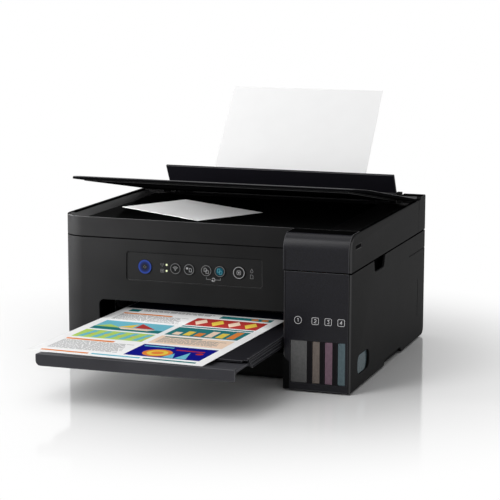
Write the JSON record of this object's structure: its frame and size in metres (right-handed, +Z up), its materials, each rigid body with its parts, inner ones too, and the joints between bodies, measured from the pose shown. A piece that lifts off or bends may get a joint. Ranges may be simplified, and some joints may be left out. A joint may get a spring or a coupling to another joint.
{
  "type": "inkjet printer",
  "caption": "Black tank-fed inkjet printer with flatbed scanner under a part-open lid, rear sheet feeder, control buttons and a pulled-out output tray.",
  "frame": {"origin": "on the floor under the middle of the whole part, tray and loaded sheet included", "axes": "+X to the printer's right as seen from the front, +Y towards the back, +Z up"},
  "size_m": [0.375, 0.5898, 0.3082],
  "materials": {
    "casing": "fine moulded texture, matte black",
    "tank_casing": "satin dark grey with fine sparkle",
    "lid_plastic": "fine moulded texture",
    "tray_plastic": "satin dark grey",
    "panel": "smooth black",
    "button": "smooth",
    "light_pipe": "lit pale green",
    "platen_black": "smooth black",
    "clear_glass": "clear",
    "pad_foam": "ribbed dark pad",
    "tank_black": "translucent, grey",
    "tank_yellow": "translucent, beige",
    "tank_magenta": "translucent, mauve",
    "tank_cyan": "translucent, pale blue",
    "cap": "matte",
    "tube": "translucent tube",
    "rubber_black": "matte",
    "roller_grey": "matte",
    "gear_white": "moulded",
    "pulley": "moulded",
    "mechanism": "moulded black",
    "nozzle": "plate",
    "zinc_sheet": "zinc-coated sheet",
    "steel": "ground steel",
    "motor_can": "grey can",
    "board": "circuit board",
    "supply_case": "moulded black",
    "paper": "plain office paper"
  },
  "bodies": {
    "housing": {"base_pan": "casing", "rubber_feet": "rubber_black", "front_cover": "casing", "left_side_cover": "casing", "right_side_cover": "casing", "rear_cover": "casing", "feeder_housing": "casing", "control_panel": "panel", "indicator_lights": "light_pipe", "tank_front_cover": "tank_casing", "ink_tank_black": "tank_black", "ink_tank_yellow": "tank_yellow", "ink_tank_magenta": "tank_magenta", "ink_tank_cyan": "tank_cyan", "tank_caps": "cap", "ink_tubes": "tube", "main_board": "board", "power_supply": "supply_case", "chassis_frame": "zinc_sheet", "carriage_shaft": "steel", "carriage_belt": "rubber_black", "carriage_motor": "motor_can", "paper_platen": "mechanism", "feed_motor": "motor_can", "capping_station": "mechanism"},
    "scanner_unit": {"scanner_shell": "casing", "platen_frame": "platen_black", "platen_glass": "clear_glass", "tank_cover": "tank_casing", "scan_rail": "steel", "hinge_pins": "steel", "original_sheet": "paper"},
    "lid": {"lid_panel": "lid_plastic", "lid_pad": "pad_foam"},
    "scan_carriage": {"scan_bar": "mechanism"},
    "carriage": {"print_carriage": "mechanism", "print_head": "nozzle"},
    "tray_rear": {"tray_rear": "tray_plastic"},
    "tray_front": {"tray_front": "tray_plastic"},
    "feeder_guard": {"feeder_guard": "lid_plastic"},
    "paper_support": {"paper_support": "lid_plastic"},
    "edge_guide_left": {"edge_guide_left": "lid_plastic"},
    "edge_guide_right": {"edge_guide_right": "lid_plastic"},
    "blank_sheet": {"blank_sheet": "paper"},
    "printed_sheet": {"printed_sheet": "paper"},
    "motor_pulley": {"motor_pulley": "pulley"},
    "idler_pulley": {"idler_pulley": "pulley"},
    "feed_roller": {"feed_roller": "roller_grey"},
    "pinch_rollers": {"pinch_rollers": "roller_grey"},
    "eject_roller": {"eject_roller": "roller_grey"},
    "pickup_roller": {"pickup_roller": "roller_grey"},
    "motor_pinion": {"motor_pinion": "gear_white"},
    "eject_idler_gear": {"eject_idler_gear": "gear_white"},
    "pickup_idler_gear": {"pickup_idler_gear": "gear_white"},
    "power_button": {"power_button": "button"},
    "wireless_button": {"wireless_button": "button"},
    "network_button": {"network_button": "button"},
    "mono_copy_button": {"mono_copy_button": "button"},
    "colour_copy_button": {"colour_copy_button": "button"},
    "stop_button": {"stop_button": "button"}
  },
  "joints": [
    {"name": "scanner_hinge", "type": "hinge", "parent": "housing", "child": "scanner_unit", "pos_m": [0, 0.17007, 0.179], "axis": [-1, 0, 0], "range_deg": [0, 25]},
    {"name": "lid_hinge", "type": "hinge", "parent": "scanner_unit", "child": "lid", "pos_m": [0, 0.16007, 0.18415], "axis": [-1, 0, 0], "range_deg": [-9.9, 46]},
    {"name": "scan_slide", "type": "slide", "parent": "scanner_unit", "child": "scan_carriage", "axis": [1, 0, 0], "range_m": [0, 0.3]},
    {"name": "tray_rear_slide", "type": "slide", "parent": "housing", "child": "tray_rear", "axis": [0, 1, 0], "range_m": [0, 0.145]},
    {"name": "tray_front_slide", "type": "slide", "parent": "tray_rear", "child": "tray_front", "axis": [0, 1, 0], "range_m": [0, 0.033]},
    {"name": "guard_hinge", "type": "hinge", "parent": "housing", "child": "feeder_guard", "pos_m": [0, 0.18157, 0.186], "axis": [-1, 0, 0], "range_deg": [0, 60]},
    {"name": "support_slide", "type": "slide", "parent": "housing", "child": "paper_support", "axis": [0, 0.6157, 0.788], "range_m": [-0.095, 0]},
    {"name": "guide_right_slide", "type": "slide", "parent": "housing", "child": "edge_guide_right", "axis": [1, 0, 0], "range_m": [0, 0.0025]},
    {"name": "guide_left_slide", "type": "slide", "parent": "housing", "child": "edge_guide_left", "axis": [-1, 0, 0], "range_m": [0, 0.0025]},
    {"name": "blank_sheet_slide", "type": "slide", "parent": "housing", "child": "blank_sheet", "axis": [0, 0.6157, 0.788], "range_m": [0, 0.15]},
    {"name": "printed_sheet_slide", "type": "slide", "parent": "housing", "child": "printed_sheet", "axis": [-0.0401, -0.9992, 0], "range_m": [0, 0.25]},
    {"name": "power_button_press", "type": "slide", "parent": "housing", "child": "power_button", "axis": [0, 1, 0], "range_m": [0, 0.001], "stiffness_N_per_m": 300},
    {"name": "wireless_button_press", "type": "slide", "parent": "housing", "child": "wireless_button", "axis": [0, 1, 0], "range_m": [0, 0.001], "stiffness_N_per_m": 300},
    {"name": "network_button_press", "type": "slide", "parent": "housing", "child": "network_button", "axis": [0, 1, 0], "range_m": [0, 0.001], "stiffness_N_per_m": 300},
    {"name": "mono_copy_button_press", "type": "slide", "parent": "housing", "child": "mono_copy_button", "axis": [0, 1, 0], "range_m": [0, 0.001], "stiffness_N_per_m": 300},
    {"name": "colour_copy_button_press", "type": "slide", "parent": "housing", "child": "colour_copy_button", "axis": [0, 1, 0], "range_m": [0, 0.001], "stiffness_N_per_m": 300},
    {"name": "stop_button_press", "type": "slide", "parent": "housing", "child": "stop_button", "axis": [0, 1, 0], "range_m": [0, 0.001], "stiffness_N_per_m": 300},
    {"name": "carriage_slide", "type": "slide", "parent": "housing", "child": "carriage", "axis": [1, 0, 0], "range_m": [-0.238, 0]},
    {"name": "motor_pulley_spin", "type": "hinge", "parent": "housing", "child": "motor_pulley", "pos_m": [-0.136, 0.07907, 0.138], "axis": [0, 1, 0], "range_deg": [0, 1707]},
    {"name": "idler_pulley_spin", "type": "hinge", "parent": "housing", "child": "idler_pulley", "pos_m": [0.166, 0.07907, 0.138], "axis": [0, 1, 0], "range_deg": [0, 1707]},
    {"name": "feed_roller_spin", "type": "hinge", "parent": "housing", "child": "feed_roller", "pos_m": [0, 0.05807, 0.072], "axis": [1, 0, 0], "continuous": true},
    {"name": "pinch_rollers_spin", "type": "hinge", "parent": "housing", "child": "pinch_rollers", "pos_m": [0, 0.05807, 0.0853], "axis": [1, 0, 0], "continuous": true},
    {"name": "eject_roller_spin", "type": "hinge", "parent": "housing", "child": "eject_roller", "pos_m": [0, -0.00193, 0.072], "axis": [1, 0, 0], "continuous": true},
    {"name": "pickup_roller_spin", "type": "hinge", "parent": "housing", "child": "pickup_roller", "pos_m": [0, 0.11446, 0.10386], "axis": [1, 0, 0], "continuous": true},
    {"name": "motor_pinion_spin", "type": "hinge", "parent": "housing", "child": "motor_pinion", "pos_m": [0, 0.08171, 0.06783], "axis": [1, 0, 0], "continuous": true},
    {"name": "eject_idler_gear_spin", "type": "hinge", "parent": "housing", "child": "eject_idler_gear", "pos_m": [0, 0.02807, 0.072], "axis": [1, 0, 0], "continuous": true},
    {"name": "pickup_idler_gear_spin", "type": "hinge", "parent": "housing", "child": "pickup_idler_gear", "pos_m": [0, 0.096, 0.07958], "axis": [1, 0, 0], "continuous": true}
  ],
  "couplings": [
    {"joint": "guide_left_slide", "follows": "guide_right_slide", "ratio": 1},
    {"joint": "motor_pulley_spin", "follows": "carriage_slide", "rad_per_m": -125},
    {"joint": "idler_pulley_spin", "follows": "carriage_slide", "rad_per_m": -125},
    {"joint": "pinch_rollers_spin", "follows": "feed_roller_spin", "ratio": -1.6},
    {"joint": "eject_idler_gear_spin", "follows": "feed_roller_spin", "ratio": -1.5},
    {"joint": "eject_roller_spin", "follows": "feed_roller_spin", "ratio": 1},
    {"joint": "motor_pinion_spin", "follows": "feed_roller_spin", "ratio": -3},
    {"joint": "pickup_idler_gear_spin", "follows": "feed_roller_spin", "ratio": 1.44},
    {"joint": "pickup_roller_spin", "follows": "feed_roller_spin", "ratio": -1}
  ]
}
